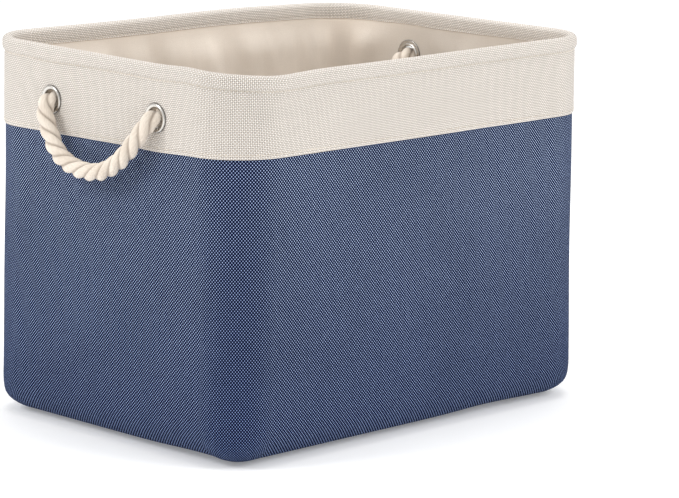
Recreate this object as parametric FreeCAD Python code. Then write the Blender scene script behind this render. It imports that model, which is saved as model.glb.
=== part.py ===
import FreeCAD, Part
import math
import os

# Fabric storage bin. Millimetres, +Z up, origin at the middle of the bottom.
# X runs along the length, with a rope handle on each end. Y runs from front (-) to rear (+).

# --- overall size, over the hem ---
LENGTH = 406.4
WIDTH = 299.7
HEIGHT = 299.7

# --- cloth and board thicknesses, and the slack between layers ---
BAND_CLOTH = 1.0
SHELL_CLOTH = 0.9
STIFFENER_BOARD = 1.6
LINING_CLOTH = 0.8
LAYER_SLACK = 0.2

# --- roundness of the wall, and how far it is turned in under the flat of the bottom ---
CORNER_RADIUS = 42.0
BOTTOM_EDGE_RADIUS = 30.0
WALL_TURN_IN = 7.0
LINING_TURN_IN = 5.0
SHARPEST_CORNER = 1.0

# --- hem and band ---
HEM_PROUD = 1.7
HEM_WIDTH = 8.0
HEM_HEIGHT = 11.0
BAND_DEPTH = 66.0
FACING_DROP = 2.0
HEM_BULGE_RISE = 3.3
CAUGHT_IN_HEM = 3.0

# --- wire hoop in the hem ---
WIRE_DIAMETER = 4.0
WIRE_END_GAP = 2.0
SLEEVE_LENGTH = 26.0
SLEEVE_WALL = 0.7
SLEEVE_CLEARANCE = 0.05
SLEEVE_SLACK = 0.15

# --- eyelets and washers ---
EYELET_SPACING = 120.0
EYELET_BELOW_TOP = 40.0
EYELET_ROPE_CLEARANCE = 1.6
EYELET_BARREL_WALL = 0.7
EYELET_FLANGE_WIDTH = 2.9
EYELET_FLANGE_RISE = 1.8
EYELET_CLINCH = 1.0
CLOTH_HOLE_CLEARANCE = 0.3
WASHER_WIDTH = 3.4
WASHER_THICKNESS = 0.9
WASHER_CLEARANCE = 0.1

# --- rope ---
ROPE_DIAMETER = 14.0
ROPE_OFF_BAND = 2.5
SWING_GAP = 0.3
KNOT_RADIUS = 15.0
KNOT_SEAT = 12.0
ROPE_END_BELOW_KNOT = 14.0

# --- stiffeners and loose base board ---
STIFFENER_CORNER_CLEARANCE = 1.0
STIFFENER_EDGE_RADIUS = 6.0
BASE_BOARD_THICKNESS = 2.0
BOARD_COVER_CLOTH = 0.5
BOARD_COVER_RETURN = 16.0
BOARD_LIFT = 0.3
BOARD_CORNER_EASE = 7.7
RIM_FLAT = 0.02

# --- bottom seams ---
SEAM_TAPE_WIDTH = 12.0
SEAM_TAPE_THICKNESS = 0.6

# --- thread ---
THREAD_WIDTH = 0.6
THREAD_PROUD = 0.3
HEM_STITCH_BELOW = 0.4
BAND_STITCH_ABOVE = 3.2
BASE_STITCH_OFFSET = 3.5
UPRIGHT_SEAM_FROM_CORNER = 6.0
UPRIGHT_SEAM_SPACING = 5.0
UPRIGHT_SEAM_MARGIN = 4.0

ROPE_RADIUS = ROPE_DIAMETER / 2
SWING_AXIS_OUT = ROPE_RADIUS + ROPE_OFF_BAND
EYELET_BORE = ROPE_DIAMETER + EYELET_ROPE_CLEARANCE

# The rope handle's route on one end, as (distance out from the band, across, below the eyelets).
# It starts on the swing axis, hangs down, and comes back up to the other eyelet.
LOOP_ROUTE = [
    (SWING_AXIS_OUT, EYELET_SPACING / 2, 0.0),
    (13.0, 54.5, -12.0),
    (15.5, 47.5, -25.5),
    (17.0, 36.0, -38.0),
    (17.5, 19.5, -45.5),
    (17.5, 1.5, -48.5),
    (17.5, -16.0, -46.0),
    (17.5, -31.0, -38.5),
    (16.5, -43.0, -28.0),
    (15.0, -52.0, -17.0),
    (12.5, -58.5, -8.5),
    (SWING_AXIS_OUT, -EYELET_SPACING / 2, 0.0),
]

# The rope's route inside, from the eyelet down to the knot, as (distance out, below the eyelet).
TAIL_BENDS = [
    (-9.5, 0.0),
    (-19.5, -5.5),
    (-24.0, -16.0),
    (-23.0, -28.0),
]

# --- insets of each layer's outer face from the overall size ---
BAND_FACE = HEM_PROUD
SHELL_FACE = BAND_FACE + BAND_CLOTH + LAYER_SLACK
STIFFENER_FACE = SHELL_FACE + SHELL_CLOTH + LAYER_SLACK
LINING_BACK = STIFFENER_FACE + STIFFENER_BOARD + LAYER_SLACK
LINING_FACE = LINING_BACK + LINING_CLOTH

# Corners of all layers are concentric, so one centre per corner serves them all.
CORNER_X = LENGTH / 2 - BAND_FACE - CORNER_RADIUS
CORNER_Y = WIDTH / 2 - BAND_FACE - CORNER_RADIUS
CORNER_INSET = BAND_FACE + CORNER_RADIUS

# The bottom edge is as round as asked for, or as the upright corners leave room for.
CORNER_ROOM = CORNER_INSET - SHARPEST_CORNER - SHELL_FACE - WALL_TURN_IN
EDGE_RADIUS = min(BOTTOM_EDGE_RADIUS, CORNER_ROOM)

# The seams of the bottom panels run round the flat of the bottom.
LINING_EDGE_RADIUS = EDGE_RADIUS - (LINING_BACK - SHELL_FACE)
SHELL_SEAM = SHELL_FACE + EDGE_RADIUS + WALL_TURN_IN
LINING_SEAM = LINING_BACK + LINING_EDGE_RADIUS + LINING_TURN_IN

HEM_BOTTOM = HEIGHT - HEM_HEIGHT
FACING_BOTTOM = HEM_BOTTOM - FACING_DROP
BAND_BOTTOM = HEIGHT - BAND_DEPTH
LINING_BOTTOM = SHELL_CLOTH + SEAM_TAPE_THICKNESS + 2 * THREAD_PROUD + LAYER_SLACK
BOARD_BOTTOM = LINING_BOTTOM + LINING_CLOTH + BOARD_LIFT
BOARD_STACK = BASE_BOARD_THICKNESS + 2 * BOARD_COVER_CLOTH
BOARD_INSET = LINING_BACK + LINING_EDGE_RADIUS - BOARD_STACK / 2
BOARD_CORNER_RADIUS = CORNER_INSET - BOARD_INSET + BOARD_CORNER_EASE

EYELET_Z = HEIGHT - EYELET_BELOW_TOP
EYELET_BARREL_RADIUS = EYELET_BORE / 2 + EYELET_BARREL_WALL
CLOTH_HOLE_RADIUS = EYELET_BARREL_RADIUS + CLOTH_HOLE_CLEARANCE
ENDS = {"left": -1, "right": 1}
PLACES = {"rear": 1, "front": -1}

V = FreeCAD.Vector


def line(a, b):
    return Part.LineSegment(V(*a), V(*b)).toShape()


def arc(a, middle, b):
    return Part.Arc(V(*a), V(*middle), V(*b)).toShape()


def section(*steps):
    """A face in the XZ plane of the right end. Each step is (inset, z), or an arc as (middle, end)."""
    def place(point):
        inset, z = point
        return (LENGTH / 2 - inset, 0, z)

    edges = []
    here = steps[0]
    for step in list(steps[1:]) + [steps[0]]:
        if isinstance(step[0], tuple):
            edges.append(arc(place(here), place(step[0]), place(step[1])))
            here = step[1]
        elif step != here:
            edges.append(line(place(here), place(step)))
            here = step
    return Part.Face(Part.Wire(edges))


def around(face):
    """Carry a section all the way round the bin: four straight sides and four round corners."""
    pieces = []
    turned = face.copy()
    turned.translate(V(0, -CORNER_Y, 0))
    straights = [(V(0, 1, 0), 2 * CORNER_Y), (V(-1, 0, 0), 2 * CORNER_X),
                 (V(0, -1, 0), 2 * CORNER_Y), (V(1, 0, 0), 2 * CORNER_X)]
    corners = [(CORNER_X, CORNER_Y), (-CORNER_X, CORNER_Y),
               (-CORNER_X, -CORNER_Y), (CORNER_X, -CORNER_Y)]
    for (direction, length), (x, y) in zip(straights, corners):
        run = direction * length
        pieces.append(turned.extrude(run))
        turned.translate(run)
        pieces.append(turned.revolve(V(x, y, 0), V(0, 0, 1), 90))
        turned.rotate(V(x, y, 0), V(0, 0, 1), 90)
    return pieces[0].multiFuse(pieces[1:]).removeSplitter()


def plate(inset, z, thickness):
    """A flat panel whose outline is the bin's plan, set in by inset, with its underside at z."""
    corner = max(CORNER_INSET - inset, SHARPEST_CORNER)
    return rounded_plate(LENGTH / 2 - inset, WIDTH / 2 - inset, corner, z, thickness)


def flat_ring(inset, width, z, thickness):
    """A flat ring round the bottom, width across, whose outer edge is at inset."""
    return plate(inset, z, thickness).cut(plate(inset + width, z, thickness))


def rounded_plate(half_x, half_y, radius, z, thickness):
    box = Part.makeBox(2 * half_x, 2 * half_y, thickness, V(-half_x, -half_y, z))
    upright = [e for e in box.Edges if abs(e.Vertexes[0].Z - e.Vertexes[1].Z) > thickness / 2]
    return box.makeFillet(radius, upright)


def arc_middle(centre, radius, degrees):
    angle = math.radians(degrees)
    return (centre[0] - radius * math.cos(angle), centre[1] + radius * math.sin(angle))


def turned_wall(face_inset, cloth, bottom, radius, top, lip):
    """A cloth wall that goes straight down, round the bottom edge and in under the bin as far as lip."""
    centre = (face_inset + radius, bottom + radius)
    inner = radius - cloth
    return around(section(
        (face_inset, top),
        (face_inset, centre[1]),
        (arc_middle(centre, radius, -45), (centre[0], bottom)),
        (lip, bottom),
        (lip, bottom + cloth),
        (centre[0], bottom + cloth),
        (arc_middle(centre, inner, -45), (face_inset + cloth, centre[1])),
        (face_inset + cloth, top),
    ))


def make_rim_band():
    """The band's outer skirt, the roll over the wire and the facing inside, as one folded sheet."""
    roll_in = HEM_WIDTH
    outer_round = HEM_WIDTH / 2
    inner_round = outer_round - BAND_CLOTH
    middle = HEM_WIDTH / 2
    shoulder = HEIGHT - outer_round
    bulge = HEM_BOTTOM + HEM_BULGE_RISE
    facing = LINING_FACE
    return around(section(
        (BAND_FACE, BAND_BOTTOM),
        (BAND_FACE, HEM_BOTTOM),
        (0.0, bulge),
        (0.0, shoulder),
        ((middle, HEIGHT), (roll_in, shoulder)),
        (roll_in, bulge),
        (facing + BAND_CLOTH, HEM_BOTTOM),
        (facing + BAND_CLOTH, FACING_BOTTOM),
        (facing + LAYER_SLACK / 2, FACING_BOTTOM),
        (facing + LAYER_SLACK / 2, HEM_BOTTOM),
        (roll_in - BAND_CLOTH, bulge),
        (roll_in - BAND_CLOTH, shoulder),
        ((middle, HEIGHT - BAND_CLOTH), (BAND_CLOTH, shoulder)),
        (BAND_CLOTH, bulge),
        (BAND_FACE + BAND_CLOTH, HEM_BOTTOM),
        (BAND_FACE + BAND_CLOTH, BAND_BOTTOM),
    ))


def make_stiffener(side):
    """A thin board for one side, as wide as the flat stretch between two round corners."""
    low = EDGE_RADIUS + STIFFENER_CORNER_CLEARANCE
    high = FACING_BOTTOM - STIFFENER_CORNER_CLEARANCE
    along_end = side in ENDS
    half = (CORNER_Y if along_end else CORNER_X) - STIFFENER_CORNER_CLEARANCE
    face = (LENGTH if along_end else WIDTH) / 2 - STIFFENER_FACE
    board = Part.makeBox(STIFFENER_BOARD, 2 * half, high - low, V(face - STIFFENER_BOARD, -half, low))
    edges = [e for e in board.Edges if abs(e.Vertexes[0].X - e.Vertexes[1].X) > STIFFENER_BOARD / 2]
    board = board.makeFillet(STIFFENER_EDGE_RADIUS, edges)
    turn = {"right": 0, "back": 90, "left": 180, "front": 270}[side]
    board.rotate(V(0, 0, 0), V(0, 0, 1), turn)
    return board


def hoop_path(inset, z, gap):
    """The hoop's line round the bin, open by gap at the middle of the rear side."""
    half_x = LENGTH / 2 - inset
    half_y = WIDTH / 2 - inset
    radius = half_x - CORNER_X
    slant = radius * math.sqrt(0.5)
    edges = [line((-gap / 2, half_y, z), (-CORNER_X, half_y, z))]
    edges.append(arc((-CORNER_X, half_y, z), (-CORNER_X - slant, CORNER_Y + slant, z), (-half_x, CORNER_Y, z)))
    edges.append(line((-half_x, CORNER_Y, z), (-half_x, -CORNER_Y, z)))
    edges.append(arc((-half_x, -CORNER_Y, z), (-CORNER_X - slant, -CORNER_Y - slant, z), (-CORNER_X, -half_y, z)))
    edges.append(line((-CORNER_X, -half_y, z), (CORNER_X, -half_y, z)))
    edges.append(arc((CORNER_X, -half_y, z), (CORNER_X + slant, -CORNER_Y - slant, z), (half_x, -CORNER_Y, z)))
    edges.append(line((half_x, -CORNER_Y, z), (half_x, CORNER_Y, z)))
    edges.append(arc((half_x, CORNER_Y, z), (CORNER_X + slant, CORNER_Y + slant, z), (CORNER_X, half_y, z)))
    edges.append(line((CORNER_X, half_y, z), (gap / 2, half_y, z)))
    return Part.Wire(edges)


def sweep_round(path, diameter):
    """A round bar along a path of tangent lines and arcs."""
    start = path.OrderedEdges[0]
    here = start.valueAt(start.FirstParameter)
    tangent = start.tangentAt(start.FirstParameter)
    if start.Orientation == "Reversed":
        here = start.valueAt(start.LastParameter)
        tangent = start.tangentAt(start.LastParameter) * -1
    ring = Part.Wire(Part.Circle(here, tangent, diameter / 2).toShape())
    return path.makePipeShell([ring], True, False)


def rope_path(points, name):
    """Straight runs joined by tangent arcs, each as large as its two runs allow."""
    points = [V(*p) for p in points]
    radii = []
    edges = []
    here = points[0]
    for before, corner, after in zip(points, points[1:], points[2:]):
        run_in = corner - before
        run_out = after - corner
        turn = run_in.getAngle(run_out)
        shorter = min(run_in.Length, run_out.Length)
        radius = 0.45 * shorter / math.tan(turn / 2)
        setback = 0.45 * shorter
        start = corner - run_in.normalize() * setback
        end = corner + run_out.normalize() * setback
        to_centre = ((start + end) * 0.5 - corner).normalize()
        middle = corner + to_centre * (math.hypot(setback, radius) - radius)
        edges.append(Part.LineSegment(here, start).toShape())
        edges.append(Part.Arc(start, middle, end).toShape())
        radii.append(radius)
        here = end
    edges.append(Part.LineSegment(here, points[-1]).toShape())
    print(name, "radii", [round(r, 1) for r in radii])
    return Part.Wire(edges)


def rope_tube(points, name):
    path = rope_path(points, name)
    tube = sweep_round(path, ROPE_DIAMETER)
    expected = math.pi * ROPE_RADIUS ** 2 * path.Length
    print(name, "length", round(path.Length, 1), "volume / (section x length)", round(tube.Volume / expected, 4))
    return tube


def outward(end, out, across, below):
    """A point by its distance out from the band's face on one end, in the bin's own frame."""
    return (ENDS[end] * (LENGTH / 2 - BAND_FACE + out), across, EYELET_Z + below)


def ball_end(centre, away):
    """Half a ball on the end of a rope, its flat towards the rope."""
    return Part.makeSphere(ROPE_RADIUS, centre, away, 0, 90, 360)


def make_rope_loop(end):
    points = [outward(end, *p) for p in LOOP_ROUTE]
    tube = rope_tube(points, "rope_loop_" + end)
    first, second = V(*points[0]), V(*points[1])
    last, before_last = V(*points[-1]), V(*points[-2])
    ends = [ball_end(first, first - second), ball_end(last, last - before_last)]
    return tube.multiFuse(ends)


def tail_points(end, place):
    across = PLACES[place] * EYELET_SPACING / 2
    outer_end = SWING_AXIS_OUT - ROPE_RADIUS - SWING_GAP
    flat = [(outer_end, 0.0)] + TAIL_BENDS
    return [outward(end, out, across, below) for out, below in flat]


def make_knot(end, place):
    """The knot's outer shape: a ball with a flat where the rope enters, and the rope's short end below."""
    points = tail_points(end, place)
    seat = V(*points[-1])
    direction = (seat - V(*points[-2])).normalize()
    centre = seat + direction * KNOT_SEAT
    ball = Part.makeSphere(KNOT_RADIUS, centre)
    keep = Part.makeCylinder(2 * KNOT_RADIUS, 4 * KNOT_RADIUS, seat, direction)
    stub = Part.makeCylinder(ROPE_RADIUS, KNOT_RADIUS + ROPE_END_BELOW_KNOT, centre, V(0, 0, -1))
    return ball.common(keep).fuse(stub)


def eyelet_profile_turned(profile, end, place):
    """Turn a profile of (distance out, radius) about the line through one eyelet."""
    across = PLACES[place] * EYELET_SPACING / 2
    centre = V(*outward(end, 0.0, across, 0.0))
    edges = []
    here = profile[0]
    for step in list(profile[1:]) + [profile[0]]:
        if isinstance(step[0], tuple):
            a, m, b = [outward(end, out, across, radius) for out, radius in (here, step[0], step[1])]
            edges.append(arc(a, m, b))
            here = step[1]
        elif step != here:
            edges.append(line(outward(end, here[0], across, here[1]), outward(end, step[0], across, step[1])))
            here = step
    face = Part.Face(Part.Wire(edges))
    return face.revolve(centre, V(1, 0, 0), 360)


def wall_back():
    """Distance from the band's face back to the lining's inner face, negative as it is inwards."""
    return BAND_FACE - LINING_FACE


def make_eyelet(end, place):
    bore = EYELET_BORE / 2
    barrel = EYELET_BARREL_RADIUS
    flange = bore + EYELET_FLANGE_WIDTH + EYELET_BARREL_WALL
    crown = (bore + flange) / 2
    back = wall_back() - WASHER_THICKNESS
    profile = [
        (0.0, barrel),
        (0.0, flange),
        ((EYELET_FLANGE_RISE, crown), (0.0, bore)),
        (back, bore),
        (back - EYELET_CLINCH, barrel),
        (back, barrel + EYELET_CLINCH),
        (back, barrel),
    ]
    return eyelet_profile_turned(profile, end, place)


def make_washer(end, place):
    inner = EYELET_BARREL_RADIUS + WASHER_CLEARANCE
    outer = inner + WASHER_WIDTH
    front = wall_back()
    back = front - WASHER_THICKNESS
    rounding = WASHER_THICKNESS / 2
    profile = [
        (front, inner),
        (front, outer - rounding),
        ((front - rounding, outer), (back, outer - rounding)),
        (back, inner),
    ]
    return eyelet_profile_turned(profile, end, place)


def eyelet_holes():
    """Cylinders that pierce every wall layer at the four eyelets."""
    holes = []
    for end in ENDS:
        for place in PLACES:
            across = PLACES[place] * EYELET_SPACING / 2
            start = V(*outward(end, HEM_PROUD, across, 0.0))
            depth = HEM_PROUD - wall_back() + LAYER_SLACK
            holes.append(Part.makeCylinder(CLOTH_HOLE_RADIUS, depth, start, V(-ENDS[end], 0, 0)))
    return holes


def board_half_sizes():
    """The loose board stops where the lining starts to turn up at the bottom edge."""
    return LENGTH / 2 - BOARD_INSET, WIDTH / 2 - BOARD_INSET


def round_edged_board(half_x, half_y, radius, z, thickness):
    """A flat board whose rim is a full half round."""
    board = rounded_plate(half_x, half_y, radius, z, thickness)
    rim = [e for e in board.Edges if abs(e.Vertexes[0].Z - e.Vertexes[-1].Z) < thickness / 2]
    return board.makeFillet((thickness - RIM_FLAT) / 2, rim)


def make_base_board():
    half_x, half_y = board_half_sizes()
    cloth = BOARD_COVER_CLOTH
    return round_edged_board(half_x - cloth, half_y - cloth, BOARD_CORNER_RADIUS - cloth,
                             BOARD_BOTTOM + cloth, BASE_BOARD_THICKNESS)


def make_board_cover(board):
    """Cloth over the top and round the rim, glued down in a margin underneath."""
    half_x, half_y = board_half_sizes()
    whole = round_edged_board(half_x, half_y, BOARD_CORNER_RADIUS, BOARD_BOTTOM, BOARD_STACK)
    margin = BOARD_COVER_RETURN
    window = rounded_plate(half_x - margin, half_y - margin, BOARD_CORNER_RADIUS - margin,
                           BOARD_BOTTOM - BOARD_STACK, BOARD_STACK + BOARD_COVER_CLOTH)
    return whole.cut(board).cut(window)


def thread_on_wall(inset, z, proud):
    """A row of stitching round the bin on an upright face, standing out of it by proud (in if negative)."""
    return around(section((inset, z), (inset, z + THREAD_WIDTH),
                          (inset - proud, z + THREAD_WIDTH), (inset - proud, z)))


def thread_on_base(inset, z):
    """A row of stitching round the bottom, lying on a flat face at height z."""
    return flat_ring(inset, THREAD_WIDTH, z, THREAD_PROUD)


def upright_rows(face_inset, low, high):
    """The two rows that close a wall strip, beside the rear left corner."""
    y = WIDTH / 2 - face_inset
    first = -CORNER_X + UPRIGHT_SEAM_FROM_CORNER
    rows = [Part.makeBox(THREAD_WIDTH, THREAD_PROUD, high - low, V(x, y, low))
            for x in (first, first + UPRIGHT_SEAM_SPACING)]
    return Part.makeCompound(rows)


def make_stitching():
    hem_row = HEM_BOTTOM - HEM_STITCH_BELOW - THREAD_WIDTH
    facing_face = LINING_FACE + BAND_CLOTH
    base_z = SHELL_CLOTH + SEAM_TAPE_THICKNESS
    wall_low = EDGE_RADIUS + UPRIGHT_SEAM_MARGIN
    rows = {}
    rows["hem_stitching"] = Part.makeCompound([thread_on_wall(BAND_FACE, hem_row, THREAD_PROUD),
                                               thread_on_wall(facing_face, hem_row, -THREAD_PROUD)])
    rows["band_stitching"] = thread_on_wall(BAND_FACE, BAND_BOTTOM + BAND_STITCH_ABOVE, THREAD_PROUD)
    rows["base_stitching"] = Part.makeCompound([
        thread_on_base(SHELL_SEAM - BASE_STITCH_OFFSET - THREAD_WIDTH, base_z),
        thread_on_base(SHELL_SEAM + BASE_STITCH_OFFSET, base_z),
    ])
    rows["lining_stitching"] = thread_on_base(LINING_SEAM - BASE_STITCH_OFFSET, LINING_BOTTOM - THREAD_PROUD)
    rows["wall_seam_stitching"] = upright_rows(SHELL_FACE, wall_low, BAND_BOTTOM - UPRIGHT_SEAM_MARGIN)
    rows["band_seam_stitching"] = upright_rows(BAND_FACE, BAND_BOTTOM + 2 * UPRIGHT_SEAM_MARGIN,
                                               hem_row - UPRIGHT_SEAM_MARGIN)
    return rows


def make_parts():
    parts = {}
    hem_catch = HEM_BOTTOM + CAUGHT_IN_HEM
    holes = eyelet_holes()

    outer_wall = turned_wall(SHELL_FACE, SHELL_CLOTH, 0.0, EDGE_RADIUS, hem_catch, SHELL_SEAM)
    lining_wall = turned_wall(LINING_BACK, LINING_CLOTH, LINING_BOTTOM, LINING_EDGE_RADIUS, hem_catch,
                              LINING_SEAM)
    parts["outer_wall"] = outer_wall.cut(holes)
    parts["lining_wall"] = lining_wall.cut(holes)
    parts["rim_band"] = make_rim_band().cut(holes)
    for side in ("front", "back", "left", "right"):
        board = make_stiffener(side)
        parts["stiffener_" + side] = board.cut(holes) if side in ENDS else board

    parts["outer_base"] = plate(SHELL_SEAM, 0.0, SHELL_CLOTH)
    parts["lining_base"] = plate(LINING_SEAM, LINING_BOTTOM, LINING_CLOTH)
    parts["base_seam_tape"] = flat_ring(SHELL_SEAM - SEAM_TAPE_WIDTH / 2, SEAM_TAPE_WIDTH,
                                        SHELL_CLOTH, SEAM_TAPE_THICKNESS)

    wire_inset = HEM_WIDTH / 2
    sleeve_bore = WIRE_DIAMETER / 2 + SLEEVE_CLEARANCE
    wire_z = HEIGHT - BAND_CLOTH - SLEEVE_SLACK - SLEEVE_WALL - sleeve_bore
    parts["rim_wire"] = sweep_round(hoop_path(wire_inset, wire_z, WIRE_END_GAP), WIRE_DIAMETER)
    sleeve_start = V(-SLEEVE_LENGTH / 2, WIDTH / 2 - wire_inset, wire_z)
    sleeve = Part.makeCylinder(sleeve_bore + SLEEVE_WALL, SLEEVE_LENGTH, sleeve_start, V(1, 0, 0))
    parts["wire_sleeve"] = sleeve.cut(Part.makeCylinder(sleeve_bore, SLEEVE_LENGTH, sleeve_start, V(1, 0, 0)))

    board = make_base_board()
    parts["base_board"] = board
    parts["board_cover"] = make_board_cover(board)

    for end in ENDS:
        parts["rope_loop_" + end] = make_rope_loop(end)
        for place in PLACES:
            spot = end + "_" + place
            parts["eyelet_" + spot] = make_eyelet(end, place)
            parts["washer_" + spot] = make_washer(end, place)
            parts["rope_tail_" + spot] = rope_tube(tail_points(end, place), "rope_tail_" + spot)
            parts["knot_" + spot] = make_knot(end, place)

    parts.update(make_stitching())
    return parts


def main():
    os.makedirs("parts", exist_ok=True)
    for name, shape in make_parts().items():
        print(name, shape.isValid(), len(shape.Solids), round(shape.Volume, 1))
        shape.exportStep("parts/" + name + ".step")


main()
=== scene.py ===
# %% [markdown]
# # A fabric storage bin with two rope handles
# The bin is a soft box of blue woven cloth with a deep cream band, stiffened by boards hidden in its walls.
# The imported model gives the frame: every piece below goes where that model says, in metres, with +Z up.

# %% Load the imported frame
import math

import bpy
import numpy as np
from mathutils import Matrix, Vector


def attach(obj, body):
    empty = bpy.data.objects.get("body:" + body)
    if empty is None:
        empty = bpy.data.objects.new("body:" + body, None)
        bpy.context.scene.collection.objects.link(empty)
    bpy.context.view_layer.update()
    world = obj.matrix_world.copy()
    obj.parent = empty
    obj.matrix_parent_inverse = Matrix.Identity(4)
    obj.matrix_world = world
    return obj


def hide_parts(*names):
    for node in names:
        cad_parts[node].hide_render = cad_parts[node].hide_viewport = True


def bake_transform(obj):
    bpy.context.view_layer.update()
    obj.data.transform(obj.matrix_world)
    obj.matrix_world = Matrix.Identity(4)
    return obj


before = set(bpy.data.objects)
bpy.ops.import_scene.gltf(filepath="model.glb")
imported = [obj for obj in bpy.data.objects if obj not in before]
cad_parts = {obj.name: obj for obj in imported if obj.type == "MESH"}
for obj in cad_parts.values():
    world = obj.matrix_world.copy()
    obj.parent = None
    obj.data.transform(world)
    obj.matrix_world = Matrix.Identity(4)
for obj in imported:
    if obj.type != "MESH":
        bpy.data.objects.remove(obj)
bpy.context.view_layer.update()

# %% [markdown]
# ## The camera
# A long lens far away keeps the bin's upright edges nearly parallel. The camera looks at one corner from a
# little above the rim, so that one end, the front and the inside of the rim all show.

# %% Camera
CAMERA_YAW = math.radians(-45.15)
CAMERA_PITCH = math.radians(11.14)
CAMERA_ROLL = math.radians(0.84)
CAMERA_DISTANCE = 2.6946
CAMERA_TARGET = Vector((0.0239, -0.0312, 0.1266))
LENS_MM = 177.0


def set_camera():
    """Places the camera by its angles round the target, with a slight roll."""
    level = math.cos(CAMERA_PITCH)
    back = Vector((math.sin(CAMERA_YAW) * level, -math.cos(CAMERA_YAW) * level, math.sin(CAMERA_PITCH)))
    right = (-back).cross(Vector((0, 0, 1))).normalized()
    up = right.cross(-back)
    turned_right = right * math.cos(CAMERA_ROLL) + up * math.sin(CAMERA_ROLL)
    turned_up = up * math.cos(CAMERA_ROLL) - right * math.sin(CAMERA_ROLL)
    data = bpy.data.cameras.new("camera")
    data.lens = LENS_MM
    data.clip_end = 50
    camera = bpy.data.objects.new("camera", data)
    placed = Matrix((turned_right, turned_up, back)).transposed().to_4x4()
    placed.translation = CAMERA_TARGET + back * CAMERA_DISTANCE
    camera.matrix_world = placed
    bpy.context.scene.collection.objects.link(camera)
    bpy.context.scene.camera = camera


set_camera()
print("camera at", [round(x, 3) for x in bpy.context.scene.camera.matrix_world.translation])

# %% [markdown]
# ## Helpers for materials
# A material is a small graph. `Graph` adds its nodes one call at a time, so that a pattern reads like
# arithmetic. Values that are the same all over a piece go straight onto the shader's own sockets.

# %% Material helper


class Graph:
    """One material, with short calls that add its nodes."""

    def __init__(self, name, **sockets):
        self.material = bpy.data.materials.new(name)
        self.material.use_nodes = True
        self.tree = self.material.node_tree
        self.shader = self.tree.nodes["Principled BSDF"]
        for socket, value in sockets.items():
            self.shader.inputs[socket.replace("_", " ")].default_value = value

    def node(self, kind, inputs=(), **settings):
        made = self.tree.nodes.new(kind)
        for key, value in settings.items():
            setattr(made, key, value)
        for key, value in dict(inputs).items():
            if isinstance(value, bpy.types.NodeSocket):
                self.tree.links.new(value, made.inputs[key])
            else:
                made.inputs[key].default_value = value
        return made

    def math(self, operation, a, b=0.0):
        return self.node("ShaderNodeMath", {0: a, 1: b}, operation=operation).outputs[0]

    def clamp(self, value, low, high, to_low=0.0, to_high=1.0):
        """Maps low..high onto to_low..to_high, held at both ends."""
        inputs = {"Value": value, "From Min": low, "From Max": high, "To Min": to_low, "To Max": to_high}
        return self.node("ShaderNodeMapRange", inputs).outputs["Result"]

    def mix(self, factor, a, b, blend_type="MIX"):
        inputs = {0: factor, 6: a, 7: b}
        return self.node("ShaderNodeMix", inputs, data_type="RGBA", blend_type=blend_type).outputs[2]

    def combine(self, x, y, z=0.0):
        return self.node("ShaderNodeCombineXYZ", {"X": x, "Y": y, "Z": z}).outputs[0]

    def noise(self, vector, scale, detail=2.0):
        inputs = {"Vector": vector, "Scale": scale, "Detail": detail}
        return self.node("ShaderNodeTexNoise", inputs).outputs["Fac"]

    def place(self):
        return self.node("ShaderNodeTexCoord").outputs["Object"]

    def map_xy(self, name="cloth"):
        """The two coordinates of a piece's own map, in metres along the cloth."""
        uv = self.node("ShaderNodeUVMap", uv_map=name).outputs[0]
        split = self.node("ShaderNodeSeparateXYZ", {0: uv})
        return split.outputs[0], split.outputs[1]

    def finish(self, colour=None, height=None, distance=0.0002, strength=1.0, roughness=None):
        if colour is not None:
            self.tree.links.new(colour, self.shader.inputs["Base Color"])
        if roughness is not None:
            self.tree.links.new(roughness, self.shader.inputs["Roughness"])
        if height is not None:
            bump = self.node("ShaderNodeBump", {"Height": height, "Distance": distance, "Strength": strength})
            self.tree.links.new(bump.outputs[0], self.shader.inputs["Normal"])
        return self.material


def rgb(red, green, blue):
    """A colour given as 0-255 screen values, as the linear numbers that a socket takes."""
    def linear(value):
        value = value / 255
        return value / 12.92 if value <= 0.04045 else ((value + 0.055) / 1.055) ** 2.4
    return (linear(red), linear(green), linear(blue), 1.0)


# %% [markdown]
# ## The rope handles
# Each handle is one length of thick cotton rope, laid up from three strands. It hangs in a loop outside, goes
# in through an eyelet at each end, turns down behind the lining and stops in an overhand knot. One spline
# carries the whole rope, knots included, so that the strands keep their twist from knot to knot.

# %% Rope route
HALF_X, HALF_Y, HEIGHT = 0.2032, 0.14985, 0.2997
BAND_FACE = 0.0017
EYELET_Z, EYELET_Y = 0.2597, 0.060
ROPE_D, HANDLE_LENGTH = 0.014, 0.263
ROPE_STEP = 0.0012
ENDS = {"left": -1, "right": 1}

# Points along the rope as (out from the band, across, up from the eyelets), in millimetres.
HANDLE_LOOP = [(6.5, 60, -0.5), (9.5, 56.5, -11), (11, 49, -24.5), (13, 37, -38.5), (14.5, 19, -45.5),
               (15, 0, -47.5), (15, -17, -45), (14.5, -32, -37), (14, -44, -26.5),
               (12.5, -52.5, -15.5), (9.5, -58.5, -6.5), (6.5, -60, -0.5)]
INSIDE_TURN = [(-9.5, 0), (-19.5, -5.5), (-24, -16), (-23, -28)]
# The knot as (out, across, up) from its middle, from the end that comes down from the eyelet.
KNOT_MIDDLE = (-22, 60, -40)
KNOT_TURNS = [(3.5, 1, 8.5), (4.5, -5.5, 1.5), (-2.5, -4.5, -5), (3.5, 4.5, -8.5), (-0.5, 11, -3.5),
              (-4.5, 10, 5), (-3.5, 1, 8), (3, -6.5, 4.5), (4.5, -8.5, -4.5), (-3.5, -2.5, -9.5),
              (-1.5, 0.5, -15), (0, 0, -22), (0, 0.5, -29)]


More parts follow.
